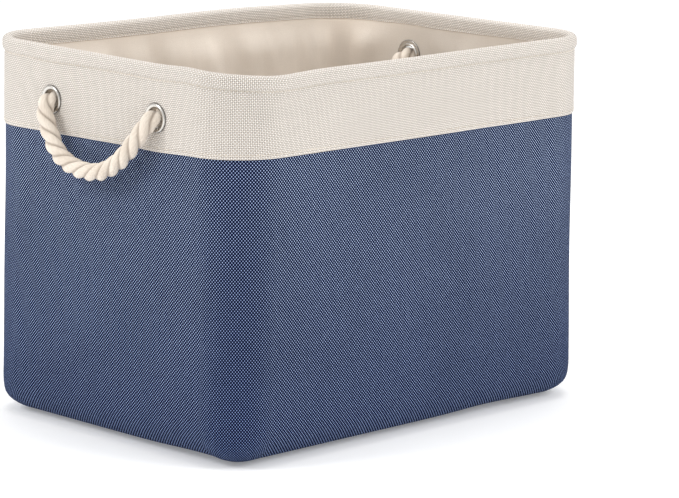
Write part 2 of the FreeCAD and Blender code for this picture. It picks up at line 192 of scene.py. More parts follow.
def rope_points(side):
    """The spline's points from one rope end to the other: knot, turn, loop, turn, knot."""
    down = [(out, EYELET_Y * 1000, up) for out, up in INSIDE_TURN]
    knot = [tuple(m + d for m, d in zip(KNOT_MIDDLE, turn)) for turn in KNOT_TURNS]
    first = (down + knot)[::-1]
    last = [(out, -across, up) for out, across, up in down + knot]
    route = first + HANDLE_LOOP + last
    return [(side * (HALF_X - BAND_FACE + out / 1000), across / 1000, EYELET_Z + up / 1000)
            for out, across, up in route]


def spline_line(points, name, smoothness=16):
    """A NURBS spline through the given control points, read back as a fine line."""
    curve = bpy.data.curves.new(name, "CURVE")
    curve.dimensions = "3D"
    spline = curve.splines.new("NURBS")
    spline.points.add(len(points) - 1)
    for point, place in zip(spline.points, points):
        point.co = (*place, 1.0)
    spline.order_u = 3
    spline.use_endpoint_u = True
    spline.resolution_u = smoothness
    holder = bpy.data.objects.new(name, curve)
    bpy.context.scene.collection.objects.link(holder)
    mesh = bpy.data.meshes.new_from_object(holder)
    line = np.array([v.co for v in mesh.vertices])
    bpy.data.objects.remove(holder)
    bpy.data.meshes.remove(mesh)
    return line


def along(line):
    """How far along the line each of its points is."""
    steps = np.linalg.norm(np.diff(line, axis=0), axis=1)
    return np.concatenate([[0], np.cumsum(steps)])


def even(line, step):
    """The same line with its points a fixed distance apart."""
    run = along(line)
    places = np.linspace(0, run[-1], max(2, int(round(run[-1] / step)) + 1))
    return np.stack([np.interp(places, run, line[:, k]) for k in range(3)], axis=1)


rope_lines = {name: even(spline_line(rope_points(side), "rope_line_" + name), ROPE_STEP)
              for name, side in ENDS.items()}
print("whole rope, knots included", {k: round(along(v)[-1], 4) for k, v in rope_lines.items()})

# %% [markdown]
# A rope's section is three lobes, one for each strand, and it turns steadily along the line. The mesh turns
# with it, so that the grooves between the strands stay crisp. Frames are carried along without twist.

# %% Rope mesh
LAY = 0.040
LOBES = 3
POINTS_PER_LOBE = 12
STRAND_OFFSET, STRAND_RADIUS = 0.20, 0.30
ROPE_GIRTH = 0.041
ROPE_YARN = 0.0013


def carried_frames(line):
    """Two directions across the line at each point, carried from point to point without twist."""
    tangent = np.gradient(line, axis=0)
    tangent /= np.linalg.norm(tangent, axis=1)[:, None]
    side = np.cross(tangent[0], (0.3, 0.9, 0.2))
    sides = []
    for t in tangent:
        side = side - t * side.dot(t)
        side /= np.linalg.norm(side)
        sides.append(side)
    sides = np.array(sides)
    return sides, np.cross(tangent, sides)


def strand_section():
    """Distance from the rope's middle out to its strands, round one turn, for a rope 1 across."""
    lobe = 2 * math.pi / LOBES
    angle = np.arange(LOBES * POINTS_PER_LOBE) * lobe / POINTS_PER_LOBE
    near = (angle + lobe / 2) % lobe - lobe / 2
    far = STRAND_OFFSET * np.cos(near) + np.sqrt(STRAND_RADIUS ** 2 - (STRAND_OFFSET * np.sin(near)) ** 2)
    return angle, far


def new_object(name, verts, faces, material):
    mesh = bpy.data.meshes.new(name)
    mesh.from_pydata([tuple(v) for v in verts], [], faces)
    mesh.materials.append(material)
    mesh.shade_smooth()
    obj = bpy.data.objects.new(name, mesh)
    bpy.context.scene.collection.objects.link(obj)
    return obj


def settle(piece, node, body="bin"):
    """Ties a piece to the body that carries it, and hides the imported node that it stands for."""
    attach(piece, body)
    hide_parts(node)


def set_map(obj, corners):
    """Stores the piece's own map, one (u, v) for each face corner."""
    layer = obj.data.uv_layers.new(name="cloth")
    layer.uv.foreach_set("vector", np.asarray(corners, np.float32).ravel())


def set_painted_light(obj, values):
    """Stores the painted light and shade of each point of the piece, which its material takes in."""
    painted_shades = obj.data.attributes.new("tone", "FLOAT", "POINT")
    painted_shades.data.foreach_set("value", np.asarray(values, np.float32).ravel())


def ring_faces(rings, count):
    """Faces between rings of points, from the outermost in to one point in the middle."""
    faces = []
    for i in range(rings):
        for j in range(count):
            n = (j + 1) % count
            if i == rings - 1:
                faces.append((i * count + j, i * count + n, rings * count))
            else:
                faces.append((i * count + j, i * count + n, (i + 1) * count + n, (i + 1) * count + j))
    return faces


def rope_piece(name, line, frames, run, width, material):
    """A stretch of rope. width is the rope's diameter at each point of the line."""
    angle, far = strand_section()
    count = len(angle)
    turn = -2 * math.pi * run / LAY
    around = angle[None, :] + turn[:, None]
    reach = far[None, :] * width[:, None]
    sides, ups = frames
    rings = (line[:, None, :] + (reach * np.cos(around))[..., None] * sides[:, None, :]
             + (reach * np.sin(around))[..., None] * ups[:, None, :])
    verts = list(rings.reshape(-1, 3)) + [line[0], line[-1]]
    faces, corners = [], []
    for i in range(len(line) - 1):
        for k in range(count):
            n = (k + 1) % count
            faces.append((i * count + k, i * count + n, (i + 1) * count + n, (i + 1) * count + k))
            u0, u1 = k / count * ROPE_GIRTH, (k + 1) / count * ROPE_GIRTH
            corners += [(u0, run[i]), (u1, run[i]), (u1, run[i + 1]), (u0, run[i + 1])]
    for ring, middle, order in ((0, len(verts) - 2, -1), (len(line) - 1, len(verts) - 1, 1)):
        for k in range(count):
            pair = (ring * count + k, ring * count + (k + 1) % count)[::order]
            faces.append((*pair, middle))
            corners += [(k / count * ROPE_GIRTH, run[ring])] * 3
    obj = new_object(name, verts, faces, material)
    set_map(obj, corners)
    return obj


# %% [markdown]
# Cotton rope is matt and a little fuzzy. Its yarns show as fine lines that run nearly straight along the
# rope, because each strand is twisted against the way the rope is laid. The grooves get a little painted
# shade.

# %% Rope cotton


def cotton_rope():
    g = Graph("cotton_rope", Roughness=0.92, Sheen_Weight=0.25, Sheen_Roughness=0.6)
    u, v = g.map_xy()
    across = g.math("SUBTRACT", u, g.math("MULTIPLY", v, ROPE_GIRTH / LAY))
    yarn = g.math("SINE", g.math("MULTIPLY", across, 2 * math.pi / ROPE_YARN))
    wander = g.noise(g.combine(g.math("MULTIPLY", across, 900), g.math("MULTIPLY", v, 160)), 1.0, 3.0)
    height = g.math("ADD", g.math("MULTIPLY", yarn, 0.35), wander)
    half_lobe = ROPE_GIRTH / LOBES / 2
    lobe = g.math("PINGPONG", u, half_lobe)
    painted_groove_shade = g.clamp(lobe, half_lobe * 0.62, half_lobe)
    cloudy = g.noise(g.place(), 60, 3.0)
    body = g.mix(g.clamp(cloudy, 0.35, 0.65), rgb(220, 207, 192), rgb(234, 223, 209))
    shaded = g.mix(g.math("MULTIPLY", g.clamp(wander, 0.35, 0.7), 0.35), body, rgb(196, 180, 162))
    # Painted shade: the colour darkens towards the grooves between the strands.
    colour = g.mix(g.math("MULTIPLY", painted_groove_shade, 0.6), shaded, rgb(126, 106, 88))
    return g.finish(colour, height, 0.00022)


ROPE_MATERIAL = cotton_rope()

# %% Rope handles
KNOT_ROPE_D, KNOT_TAPER = 0.0104, 0.006
# Where the rope meets each knot, in from the band and below the eyelets.
SEAT_IN, SEAT_BELOW = 0.0231, 0.028
# A cut end spreads, and its very edge is worn round.
TIP_SPREAD, TIP_LENGTH, TIP_EDGE = 0.0022, 0.014, 0.0016


def nearest(line, point):
    return int(np.argmin(np.linalg.norm(line - np.array(point), axis=1)))


def make_rope(name, side):
    """Splits one line into the rope between its two knots, and the knots themselves."""
    line = rope_lines[name]
    run = along(line)
    frames = carried_frames(line)
    seats = [nearest(line, (side * (HALF_X - BAND_FACE - SEAT_IN), y, EYELET_Z - SEAT_BELOW))
             for y in (EYELET_Y, -EYELET_Y)]
    width = np.full(len(line), ROPE_D)
    near_knot = np.minimum(run - run[seats[0]], run[seats[1]] - run)
    tight = np.clip(-near_knot / KNOT_TAPER, 0, 1)
    width = ROPE_D + (KNOT_ROPE_D - ROPE_D) * tight
    tip = np.minimum(run, run[-1] - run)
    width += TIP_SPREAD * np.clip(1 - tip / TIP_LENGTH, 0, 1)
    width *= np.clip(0.86 + 0.14 * tip / TIP_EDGE, 0, 1)
    made = {}
    spans = {"knot_rear": (0, seats[0] + 1), "rope": (seats[0], seats[1] + 1),
             "knot_front": (seats[1], len(line))}
    for part, (start, stop) in spans.items():
        span = slice(start, stop)
        label = f"handle_rope_{name}" if part == "rope" else f"rope_{part}_{name}"
        made[part] = rope_piece(label, line[span], (frames[0][span], frames[1][span]), run[span],
                                width[span], ROPE_MATERIAL)
    for place in ("rear", "front"):
        settle(made["knot_" + place], f"knot_{name}_{place}")
    rope = made["rope"]
    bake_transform(rope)
    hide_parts("rope_loop_" + name, f"rope_tail_{name}_rear", f"rope_tail_{name}_front")


for end_name, end_side in ENDS.items():
    make_rope(end_name, end_side)

# %% [markdown]
# ## The bin's form
# All layers of the wall share one form: a rounded rectangle whose corners open out towards the rim, with a
# slight belly in each side, where cloth and board give. The rim and the bottom edge rise and dip by a few
# millimetres. A layer is that form set in by its own distance, so the layers lie on each other everywhere.
# Round each eyelet the form is flat, because the eyelet clamps it.

# %% Form
CORNER_TOP, CORNER_BOTTOM = 0.0505, 0.0415
BELLY, BELLY_LOW, BELLY_HIGH = 0.0016, 0.022, 0.287
CORNER_HOLLOW = 0.0008
# Each bottom corner pushes out at this height, and no more where the cloth has turned under the bin.
CORNER_TIP, TIP_HEIGHT = 0.0034, 0.010
UNDER_FROM, UNDER_TO = 0.022, 0.032
# The form is flat within the first distance of an eyelet's line, and free beyond the second.
CLAMPED, FREE = 0.014, 0.045
EYELET_END = 0.03
# How far the rim rises to the right end, to the back, and at the right rear and left front corners.
# A value below nought lets it fall there.
RISE_RIGHT, RISE_BACK, RISE_TWIST = -0.00125, 0.00045, -0.0011
HEM_START, WALL_TOP = 0.285, 0.2912
BAND_BOTTOM, BAND_SLANT = 0.2337, 0.0024
SIDE_STEP = 0.0042
SHARPEST_CORNER = 0.001
CORNER_STEPS = 20
rng = np.random.default_rng(7)
# Each wave is (waves round the bin, waves up the wall, phase round, phase up, height in metres).
WAVES = [(k, 0.6 + 1.6 * rng.random(), 6.28 * rng.random(), 6.28 * rng.random(), 0.0006 / (1 + 0.12 * k))
         for k in (5, 7, 9, 13, 17)]


def stations():
    """Places round the bin as (segment, share of it): even segments are corners, odd ones are sides."""
    found = []
    for segment in range(8):
        if segment % 2 == 0:
            steps = CORNER_STEPS
        else:
            length = 2 * (HALF_Y if segment in (1, 5) else HALF_X) - 2 * CORNER_TOP
            steps = int(round(length / SIDE_STEP))
        found += [(segment, i / steps) for i in range(steps)]
    return np.array(found)


STATIONS = stations()
SEGMENT = STATIONS[:, 0].astype(int)
SHARE = STATIONS[:, 1]


def outline(inset, radius):
    """Points and outward normals of the rounded rectangle, for rows of insets and corner radii."""
    inset, radius = np.broadcast_arrays(np.asarray(inset, float)[:, None], np.asarray(radius, float)[:, None])
    radius = np.maximum(radius, inset + SHARPEST_CORNER)
    cx, cy = HALF_X - radius, HALF_Y - radius
    corner_x = np.array([-1, -1, 1, 1])
    corner_y = np.array([1, -1, -1, 1])
    which = SEGMENT // 2
    start = math.pi / 2 + which * math.pi / 2
    is_corner = SEGMENT % 2 == 0
    angle = np.where(is_corner, start + SHARE * math.pi / 2, start + math.pi / 2)
    nx, ny = np.cos(angle)[None, :], np.sin(angle)[None, :]
    follow = (which + 1) % 4
    from_x, from_y = corner_x[which] * cx, corner_y[which] * cy
    to_x, to_y = corner_x[follow] * cx, corner_y[follow] * cy
    share = np.where(is_corner, 0.0, SHARE)[None, :]
    reach = radius - inset
    x = from_x + (to_x - from_x) * share + nx * reach
    y = from_y + (to_y - from_y) * share + ny * reach
    return x, y, np.broadcast_to(nx, x.shape), np.broadcast_to(ny, y.shape)


PLAIN = outline([0.0], [0.046])
ROUND = np.concatenate([np.hypot(np.diff(PLAIN[0][0]), np.diff(PLAIN[1][0])),
                        [np.hypot(PLAIN[0][0][0] - PLAIN[0][0][-1], PLAIN[1][0][0] - PLAIN[1][0][-1])]])
AROUND = np.concatenate([[0], np.cumsum(ROUND)])
GIRTH = AROUND[-1]


def eyelet_distance(x, y, z):
    """Distance from the line through the nearest eyelet, on the two ends only."""
    away = np.hypot(np.abs(y) - EYELET_Y, z - EYELET_Z)
    return np.where(np.abs(x) > HALF_X - EYELET_END, away, 1.0)


def smooth(value, low, high):
    t = np.clip((value - low) / (high - low), 0, 1)
    return t * t * (3 - 2 * t)


def round_corners():
    """1 in the middle of each corner, 0 along the sides."""
    return np.where(SEGMENT % 2 == 0, np.sin(math.pi * SHARE), 0.0)[None, :]


FROM_CORNER = AROUND[:-1] - AROUND[int(np.where(SEGMENT == 2)[0][CORNER_STEPS // 2])]
# Each sag is (metres from the middle of the front left corner, reach either way, metres up).
RIM_SAGS = [(0.795, 0.085, 0.0018), (0.034, 0.030, -0.0018), (-0.042, 0.022, 0.0014), (0.130, 0.110, -0.0009)]
FOOT_SAGS = [(-0.055, 0.035, 0.0018), (0.290, 0.040, 0.0014)]
FOOT_LIFT = 0.0006


def corner_sag(z, inset):
    """The rim dips and rises a little beside the front left corner, and the bottom edge lifts there."""
    def bumps(sags):
        return sum(up * np.exp(-((FROM_CORNER - at) / reach) ** 2) for at, reach, up in sags)[None, :]
    foot = np.exp(-(z / 0.035) ** 2) * (1 - smooth(inset, 0.025, 0.034))
    return bumps(RIM_SAGS) * smooth(z, 0.262, 0.287) + (FOOT_LIFT + bumps(FOOT_SAGS)) * foot


def form(inset, z, extra=None):
    """The form's points for rows of (inset, z). extra adds its own distance inwards, in metres."""
    inset, z = np.asarray(inset, float), np.asarray(z, float)
    radius = CORNER_BOTTOM + (CORNER_TOP - CORNER_BOTTOM) * np.clip(z / HEIGHT, 0, 1) ** 1.5
    x, y, nx, ny = outline(inset, radius)
    zz = np.broadcast_to(z[:, None], x.shape)
    hold = smooth(eyelet_distance(x, y, zz), CLAMPED, FREE)
    up = np.clip((zz - BELLY_LOW) / (BELLY_HIGH - BELLY_LOW), 0, 1)
    side = np.where(SEGMENT % 2 == 1, np.sin(math.pi * SHARE), 0.0)[None, :]
    out = BELLY * np.sin(math.pi * up) * side
    where = AROUND[:-1] / GIRTH * 2 * math.pi
    for k, tall, phase, lift, size in WAVES:
        out = out + size * np.sin(k * where + phase)[None, :] * np.sin(2 * math.pi * tall * up + lift) * (
            np.sin(math.pi * up))
    out = out - CORNER_HOLLOW * round_corners() * np.sin(math.pi * up)
    tip = round_corners() * (1 - smooth(inset, UNDER_FROM, UNDER_TO))[:, None]
    out = out + CORNER_TIP * tip * np.exp(-((zz - TIP_HEIGHT) / TIP_HEIGHT) ** 2)
    out = out * hold
    if extra is not None:
        out = out - extra(x, y, zz, where) * hold
    zz = zz + corner_sag(zz, np.broadcast_to(inset[:, None], zz.shape))
    rise = (zz / HEIGHT) ** 2 * (RISE_RIGHT * x / HALF_X + RISE_BACK * y / HALF_Y
                                 + RISE_TWIST * x * y / (HALF_X * HALF_Y))
    return np.stack([x + nx * out, y + ny * out, zz + rise * hold], axis=2)


def band_hang(points):
    """Lets the band's lower edge run a little higher along the front than along the back."""
    x, y, z = points[..., 0], points[..., 1], points[..., 2]
    clear = smooth(eyelet_distance(x, y, z), CLAMPED, FREE)
    points[..., 2] = z - BAND_SLANT * y / HALF_Y * smooth(-z, -HEM_START, -BAND_BOTTOM) * clear
    return points


print("places round the bin", len(STATIONS), "girth", round(GIRTH, 4))

# %% [markdown]
# A cloth layer is woven as a grid: rows follow a profile up the wall, and columns go round the bin. Its own
# map holds metres along the cloth, so that yarns have one size everywhere. Eyelet holes are made by moving
# the grid's points onto the hole's rim and leaving out the faces inside. Solidify gives the thickness.

# %% Cloth sweeps
HOLE_RADIUS = 0.0092


def profile_run(profile):
    """Metres along a profile of (inset, z) points."""
    return np.concatenate([[0], np.cumsum(np.linalg.norm(np.diff(np.asarray(profile), axis=0), axis=1))])


def cut_holes(points, faces):
    """Moves points inside an eyelet hole out to its rim, and drops the faces that are all inside."""
    flat = points.reshape(-1, 3)
    away = eyelet_distance(flat[:, 0], flat[:, 1], flat[:, 2])
    inside = away < HOLE_RADIUS
    dy = flat[inside, 1] - np.sign(flat[inside, 1]) * EYELET_Y
    dz = flat[inside, 2] - EYELET_Z
    reach = np.maximum(np.hypot(dy, dz), 1e-6)
    flat[inside, 1] += dy / reach * (HOLE_RADIUS - reach)
    flat[inside, 2] += dz / reach * (HOLE_RADIUS - reach)
    keep = ~inside[faces].all(axis=1)
    return flat, keep


def sweep(name, points, run, material, thickness, flip=False, closed=True, columns=None, holes=False,
          tone=None):
    """A layer from rows of points. closed joins the last column to the first."""
    rows, count, _ = points.shape
    i, j = np.meshgrid(np.arange(rows - 1), np.arange(count if closed else count - 1), indexing="ij")
    i, j = i.ravel(), j.ravel()
    n = (j + 1) % count
    faces = np.stack([i * count + j, (i + 1) * count + j, (i + 1) * count + n, i * count + n], axis=1)
    reach = AROUND if columns is None else columns
    u0, u1 = reach[j], reach[j + 1]
    corners = np.stack([np.stack([u0, run[i]], 1), np.stack([u0, run[i + 1]], 1),
                        np.stack([u1, run[i + 1]], 1), np.stack([u1, run[i]], 1)], axis=1)
    if flip:
        faces, corners = faces[:, ::-1], corners[:, ::-1]
    verts = points.reshape(-1, 3)
    if holes:
        verts, keep = cut_holes(points.copy(), faces)
        faces, corners = faces[keep], corners[keep]
    used = np.unique(faces)
    renumber = np.zeros(len(verts), int)
    renumber[used] = np.arange(len(used))
    obj = new_object(name, verts[used], renumber[faces].tolist(), material)
    set_map(obj, corners.reshape(-1, 2))
    if tone is not None:
        set_painted_light(obj, np.asarray(tone).ravel()[used])
    give_thickness(obj, thickness)
    return obj


def give_thickness(obj, thickness):
    """Thickens a sheet behind its shown face, and keeps the result as the piece's mesh."""
    solid = obj.modifiers.new("thickness", "SOLIDIFY")
    solid.thickness = thickness
    solid.offset = -1
    solid.use_even_offset = False
    keep_modifiers(obj)


def keep_modifiers(obj):
    """Replaces a piece's mesh by its finished one, and clears the modifiers."""
    bpy.context.view_layer.update()
    done = bpy.data.meshes.new_from_object(obj.evaluated_get(bpy.context.evaluated_depsgraph_get()))
    old = obj.data
    obj.modifiers.clear()
    obj.data = done
    done.name = obj.name
    bpy.data.meshes.remove(old)


# %% [markdown]
# ## Woven cloth
# Plain weave crosses one yarn up, one yarn down. Each crossing is a small cushion: where the warp is on top
# its colour shows, elsewhere the weft's does, and the holes between them get painted shade. The top of each
# warp crossing turns pale, partly the yarn's pale flecks and partly a painted highlight. Yarns differ a
# little in tone, and whole areas drift slightly, which keeps the cloth from looking printed.

# %% Plain weave
# Warp yarns lie this much closer together than weft yarns.
WARP_CLOSER = 0.95


def plain_weave(g, yarn, fleck_and_highlight, warp, weft, dark_tone_and_hole_shade, slub, shade):
    """Colour and height of a plain weave with yarns that far apart, in metres. The warp turns from its own
    colour to a pale one where it rides highest, so each crossing shows as a dot: partly a pale fleck in the
    yarn, partly a painted highlight. Low between the yarns the colour goes dark, as painted shade, and the
    same dark colour also deepens some yarns and areas at random."""
    u, v = g.map_xy()
    wobble = g.math("MULTIPLY", g.math("SUBTRACT", g.noise(g.place(), 14, 2.0), 0.5), yarn * 1.6)
    a = g.math("DIVIDE", g.math("ADD", u, wobble), yarn * WARP_CLOSER)
    b = g.math("DIVIDE", g.math("ADD", v, wobble), yarn)
    a_cell, b_cell = g.math("FLOOR", a), g.math("FLOOR", b)

    def rounded(part):
        """Height across one yarn, a half circle."""
        off = g.math("SUBTRACT", g.math("MULTIPLY", g.math("FRACT", part), 2.0), 1.0)
        return g.math("SQRT", g.math("MAXIMUM", g.math("SUBTRACT", 1.0, g.math("MULTIPLY", off, off)), 0.0))

    def swing(along_yarn, cell):
        """Up and down of a yarn as it passes over and under the others."""
        return g.math("SINE", g.math("MULTIPLY", g.math("ADD", along_yarn, cell), math.pi))

    warp_up = g.math("ADD", g.math("MULTIPLY", swing(b, a_cell), 0.55), rounded(a))
    weft_up = g.math("ADD", g.math("MULTIPLY", swing(a, b_cell), -0.55), rounded(b))
    warp_on_top = g.clamp(g.math("SUBTRACT", warp_up, weft_up), -0.12, 0.12)
    height = g.math("MAXIMUM", warp_up, weft_up)
    crossing = g.node("ShaderNodeTexWhiteNoise", {"Vector": g.combine(a_cell, b_cell)}).outputs["Value"]
    tone_a = g.noise(g.combine(a_cell, g.math("MULTIPLY", b, 0.06)), 0.9, 0.0)
    tone_b = g.noise(g.combine(g.math("MULTIPLY", a, 0.06), b_cell), 0.9, 0.0)
    # Partly painted highlight: the top of each warp crossing turns pale.
    dot = g.math("MULTIPLY", g.clamp(warp_up, 1.08, 1.5), g.clamp(crossing, 0.0, 1.0, 0.82, 1.0))
    warp_tone = g.mix(dot, warp, fleck_and_highlight)
    warp_tone = g.mix(g.clamp(tone_a, 0.3, 0.7, 0.0, slub), warp_tone, dark_tone_and_hole_shade)
    weft_tone = g.mix(g.clamp(tone_b, 0.3, 0.7, 0.0, slub), weft, dark_tone_and_hole_shade)
    colour = g.mix(warp_on_top, weft_tone, warp_tone)
    # Painted shade: low between the yarns the colour goes dark.
    colour = g.mix(g.clamp(height, 0.6, 1.2, 1.0, 0.0), colour, dark_tone_and_hole_shade)
    drift = g.noise(g.place(), 9, 3.0)
    colour = g.mix(g.clamp(drift, 0.35, 0.65, 0.0, shade), colour, dark_tone_and_hole_shade)
    return colour, height


def with_painted_light(g, colour, deep=(0, 0, 0, 1)):
    """The colour made darker by the piece's painted light and shade, kept as its tone: 1 leaves it, 0
    multiplies it by the deep colour.
    """
    tone = g.node("ShaderNodeAttribute", attribute_name="tone").outputs["Fac"]
    veil = g.node("ShaderNodeMix", {0: tone, 6: deep, 7: (1, 1, 1, 1)}, data_type="RGBA", clamp_factor=False)
    return g.mix(1.0, colour, veil.outputs[2], "MULTIPLY")


def blue_cloth():
    g = Graph("blue_cloth", Roughness=0.95, Specular_IOR_Level=0.08)
    colour, height = plain_weave(g, 0.0014, rgb(206, 226, 255), rgb(14, 36, 98), rgb(2, 11, 48),
                                 rgb(0, 2, 12), 0.08, 0.12)
    return g.finish(with_painted_light(g, colour, (0, 0.11, 0.42, 1)), height, 0.0004)


def cream_cloth():
    g = Graph("cream_cloth", Roughness=0.9, Specular_IOR_Level=0.3, Sheen_Weight=0.1, Sheen_Roughness=0.5)
    colour, height = plain_weave(g, 0.0014, rgb(254, 252, 248), rgb(250, 242, 233), rgb(230, 219, 207),
                                 rgb(64, 54, 46), 0.06, 0.02)
    return g.finish(with_painted_light(g, colour), height, 0.0005)


def lining_cloth():
    g = Graph("lining_cloth", Roughness=0.8, Sheen_Weight=0.1, Sheen_Roughness=0.5)
    colour, height = plain_weave(g, 0.0007, rgb(246, 236, 225), rgb(240, 229, 216), rgb(238, 227, 214),
                                 rgb(206, 192, 176), 0.12, 0.08)
    return g.finish(with_painted_light(g, colour), height, 0.0001)


BLUE, CREAM, LINING = blue_cloth(), cream_cloth(), lining_cloth()
print("woven cloths", BLUE.name, CREAM.name, LINING.name)

# %% [markdown]
# ## The blue wall
# One strip of blue cloth goes round the bin. It is caught in the hem above, runs down behind the band and
# over the boards, and turns in under the bottom, where it is sewn to the bottom panel.

# %% Blue wall
SHELL_FACE, SHELL_CLOTH = 0.0029, 0.0009
EDGE_RADIUS = 0.030
SHELL_SEAM = 0.0399


def turned_profile(face, radius, bottom, top, seam, step=0.0045):
    """(inset, z) from the top of a wall down, round the bottom edge and in to the seam."""
    turn_z = bottom + radius
    down = [(face, z) for z in np.linspace(top, turn_z, int(round((top - turn_z) / step)) + 1)]
    bend = [(face + radius * (1 - math.cos(a)), turn_z - radius * math.sin(a))
            for a in np.linspace(0, math.pi / 2, 12)[1:]]
    under = [(i, bottom) for i in np.linspace(face + radius, seam, 5)[1:]]
    return np.array(down + bend + under)


def blue_painted_shade(points):
    """Painted shade: the blue cloth is darker low down and round the corners."""
    return (0.52 + 0.50 * smooth(points[..., 2], -0.06, 0.25)) * (1 - 0.25 * round_corners())


def layer(name, profile, material, thickness, extra=None, flip=False, holes=False, hang=None, tone=None):
    points = form(profile[:, 0], profile[:, 1], extra)
    if hang is not None:
        points = hang(points)
    painted_shades = None if tone is None else np.broadcast_to(tone(points), points.shape[:2])
    return sweep(name, points, profile_run(profile), material, thickness, flip=flip, holes=holes, tone=painted_shades)


blue_profile = turned_profile(SHELL_FACE, EDGE_RADIUS, 0.0, WALL_TOP, SHELL_SEAM)
blue_wall = layer("blue_wall", blue_profile, BLUE, SHELL_CLOTH, holes=True, tone=blue_painted_shade)
settle(blue_wall, "outer_wall")

# %% [markdown]
# ## The cream band and hem
# The band is one folded strip. Its lower edge is turned under and topstitched to the blue wall, its top
# rolls over the wire hoop as a hem, and its other edge comes down inside as a narrow facing.

# %% Cream rim
BAND_SHEET = 0.00045


def rim_profile():
    """(inset, z) in metres along the right side of the band's cloth, from the turn-up at its lower edge."""
    mm = [(2.75, 243.5), (2.75, 240), (2.75, 236), (2.72, 234.7), (2.55, 233.95), (2.22, 233.65),
          (1.9, 233.9), (1.74, 234.6), (1.7, 235.6)]
    mm += [(1.7 + 0.25 * math.exp(-((z - 236.9) / 0.8) ** 2), z) for z in (236.2, 236.9, 237.6, 238.6)]
    mm += [(1.7, z) for z in np.arange(242.0, 285.5, 3.9)]
    mm += [(1.72, 286.3), (1.95, 287.2), (2.25, 287.9), (2.0, 288.4), (1.25, 289.0), (0.6, 289.8),
           (0.18, 290.9), (0.0, 292.3), (0.0, 294.0), (0.0, 295.7)]
    mm += [(4 - 4 * math.cos(a), 295.7 + 4 * math.sin(a)) for a in np.linspace(0, math.pi, 11)[1:]]
    mm += [(8.0, 294.0), (8.0, 292.4), (7.95, 291.2), (7.8, 290.1), (7.65, 289.2), (7.35, 288.5),
           (7.25, 288.0), (7.45, 287.4), (7.55, 287.0), (7.4, 286.7), (7.1, 286.6), (6.85, 286.8),
           (6.7, 287.3), (6.7, 289.5)]
    return np.array(mm) / 1000


def rim_painted_light(points):
    """One tone for each row, all painted light and shade: the folded edges get a painted highlight, the
    crease under the hem painted shade, the inner side of the rim is lighter, and the corners are a little
    darker.
    """
    inset, z = rim[:, 0], rim[:, 1]
    edge = np.exp(-((z - 0.2340) / 0.0007) ** 2) + np.exp(-((z - 0.2868) / 0.0006) ** 2) * (inset > 0.005)
    crease = np.exp(-((z - 0.2879) / 0.0007) ** 2)
    inner = 0.10 * smooth(inset, 0.0025, 0.006)
    return (0.95 + inner + 0.16 * edge - 0.07 * crease)[:, None] * (1 - 0.06 * round_corners())


rim = rim_profile()
cream_rim = layer("cream_rim", rim, CREAM, BAND_SHEET, flip=True, holes=True, hang=band_hang, tone=rim_painted_light)
settle(cream_rim, "rim_band")

# %% [markdown]
# ## The lining
# The lining is cut a little long, so it hangs in soft folds inside the boards. The folds go inwards only,
# and fade out at the hem, round the eyelets and at the bottom.

# %% Lining
LINING_BACK, LINING_CLOTH, LINING_BOTTOM = 0.0058, 0.0008, 0.0023
LINING_EDGE_RADIUS, LINING_SEAM = 0.0271, 0.0379
SLACK = 0.0015
FOLDS = [(k, 6.28 * rng.random(), 6.28 * rng.random(), 3.2 * rng.random() - 1.6) for k in (7, 12, 19, 31)]


def slack(x, y, z, where):
    """How far the lining hangs in from its tight shape."""
    depth = np.zeros_like(z)
    for k, phase, lift, lean in FOLDS:
        swing = k * where[None, :] + phase + lean * 22 * z + 0.7 * np.sin(11 * z + lift)
        depth = depth + SLACK * (1 + np.sin(swing + 0.5 * np.sin(2 * swing)))
    away = np.hypot(np.abs(y) - EYELET_Y, z - 0.230)
    clear = np.where(np.abs(x) > HALF_X - EYELET_END, smooth(away, 0.035, 0.07), 1.0)
    return depth * smooth(z, 0.03, 0.09) * smooth(-z, -0.2862, -0.262) * clear


def lining_painted_light(points):
    """Painted light and shade on the lining: darker low down and toward the right end, lightest just under
    the hem, with painted shade of soft folds and a little lighter in the corners.
    """
    x, y, z = points[..., 0], points[..., 1], points[..., 2]
    clouds = np.sin(19 * x + 31 * z + 2) * np.sin(17 * y - 43 * z + 1)
    painted_fold_shade = clouds + 0.6 * np.sin(47 * x - 60 * z) * np.sin(41 * y)
    edge = 0.07 * smooth(z, 0.2825, 0.2845)
    return (0.88 + 0.12 * smooth(z, 0.250, 0.287) + edge) * (1 + 0.05 * painted_fold_shade) * (
        0.97 + 0.07 * round_corners() - 0.2 * smooth(x, 0.15, 0.19) * smooth(-y, -0.12, -0.03))


lining_profile = turned_profile(LINING_BACK, LINING_EDGE_RADIUS, LINING_BOTTOM, WALL_TOP, LINING_SEAM, 0.005)
lining = layer("lining", lining_profile, LINING, -LINING_CLOTH, extra=slack, flip=True, holes=True,
               tone=lining_painted_light)
settle(lining, "lining_wall")

# %% [markdown]
# ## The bottom
# A flat blue panel closes the bin below and a lining panel closes it inside. A tape covers the seam between
# wall and panel. Each flat piece is the bin's outline drawn smaller ring by ring to a closed middle.

# %% Bottom panels
PANEL_RINGS = 14


def flat_panel(name, inset, z, thickness, material, tone, facing_up):
    """A flat sheet filling the bin's outline at that inset. z is the height of the shown face."""
    edge = form(np.array([inset]), np.array([z]))[0]
    edge[:, 2] = z
    shares = np.linspace(1, 0, PANEL_RINGS + 1)[:-1]
    points = np.concatenate([edge * [s, s, 1] for s in shares] + [[[0, 0, z]]])
    faces = ring_faces(PANEL_RINGS, len(edge))
    if not facing_up:
        faces = [f[::-1] for f in faces]
    obj = new_object(name, points, faces, material)
    set_map(obj, [points[v][:2] + [0.3, 0.3] for f in faces for v in f])
    set_painted_light(obj, np.full(len(points), tone))
    give_thickness(obj, thickness)
    return obj


